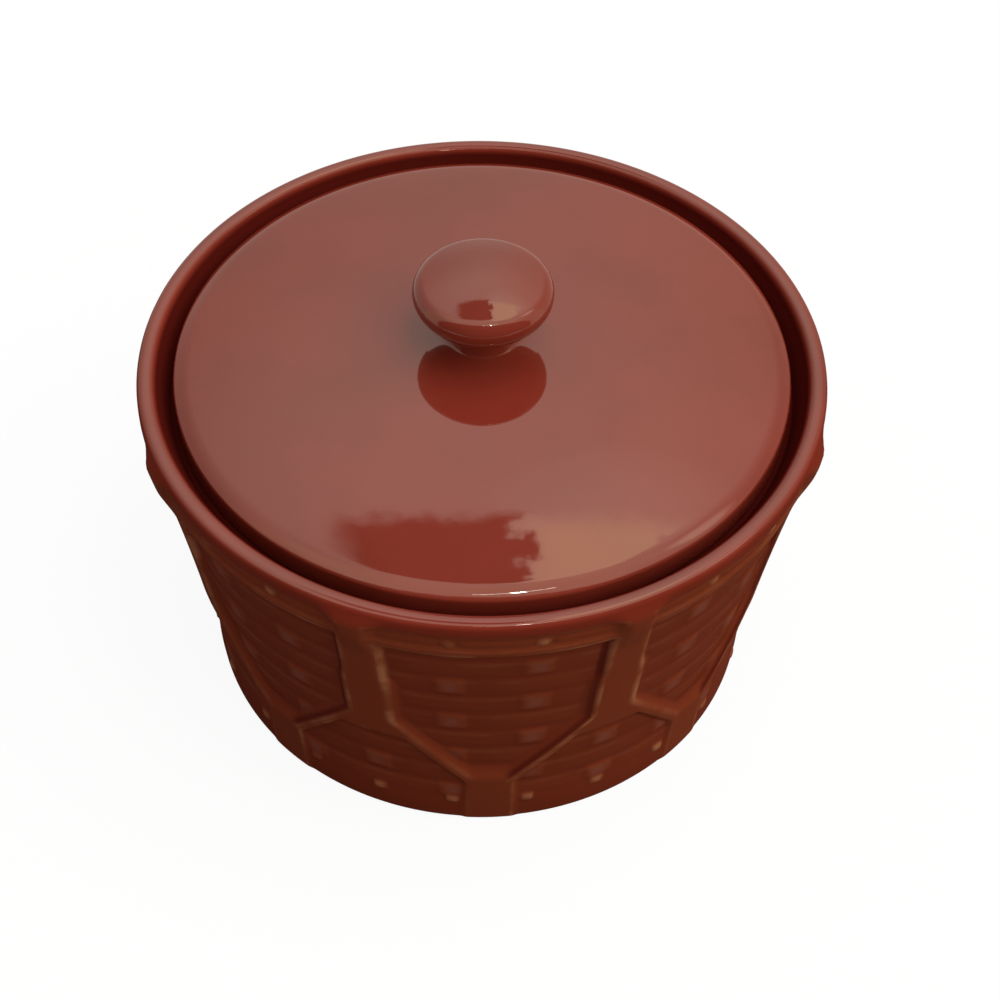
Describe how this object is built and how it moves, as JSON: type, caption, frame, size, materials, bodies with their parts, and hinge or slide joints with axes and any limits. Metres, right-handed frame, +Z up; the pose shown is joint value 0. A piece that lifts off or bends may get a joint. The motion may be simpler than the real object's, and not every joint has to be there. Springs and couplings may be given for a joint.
{
  "type": "lidded crock",
  "caption": "Round flared glazed crock with moulded basket-weave panels between straps, and a domed drop-in lid lifted by a mushroom knob.",
  "frame": {"origin": "middle of the foot ring, on the surface that the crock stands on", "axes": "+Z up along the crock's axis, a woven panel's middle towards -Y"},
  "size_m": [0.2, 0.2, 0.1461],
  "materials": {
    "crock_glaze": "glossy reddish-brown glaze, thinner and paler on raised edges, bare foot ring",
    "lid_glaze": "glossy reddish-brown glaze"
  },
  "bodies": {
    "crock": {"crock": "crock_glaze"},
    "lid": {"lid": "lid_glaze", "lid_knob": "lid_glaze"}
  },
  "joints": [
    {"name": "lid_lift", "type": "slide", "parent": "crock", "child": "lid", "axis": [0, 0, 1], "range_m": [0, 0.12]}
  ]
}
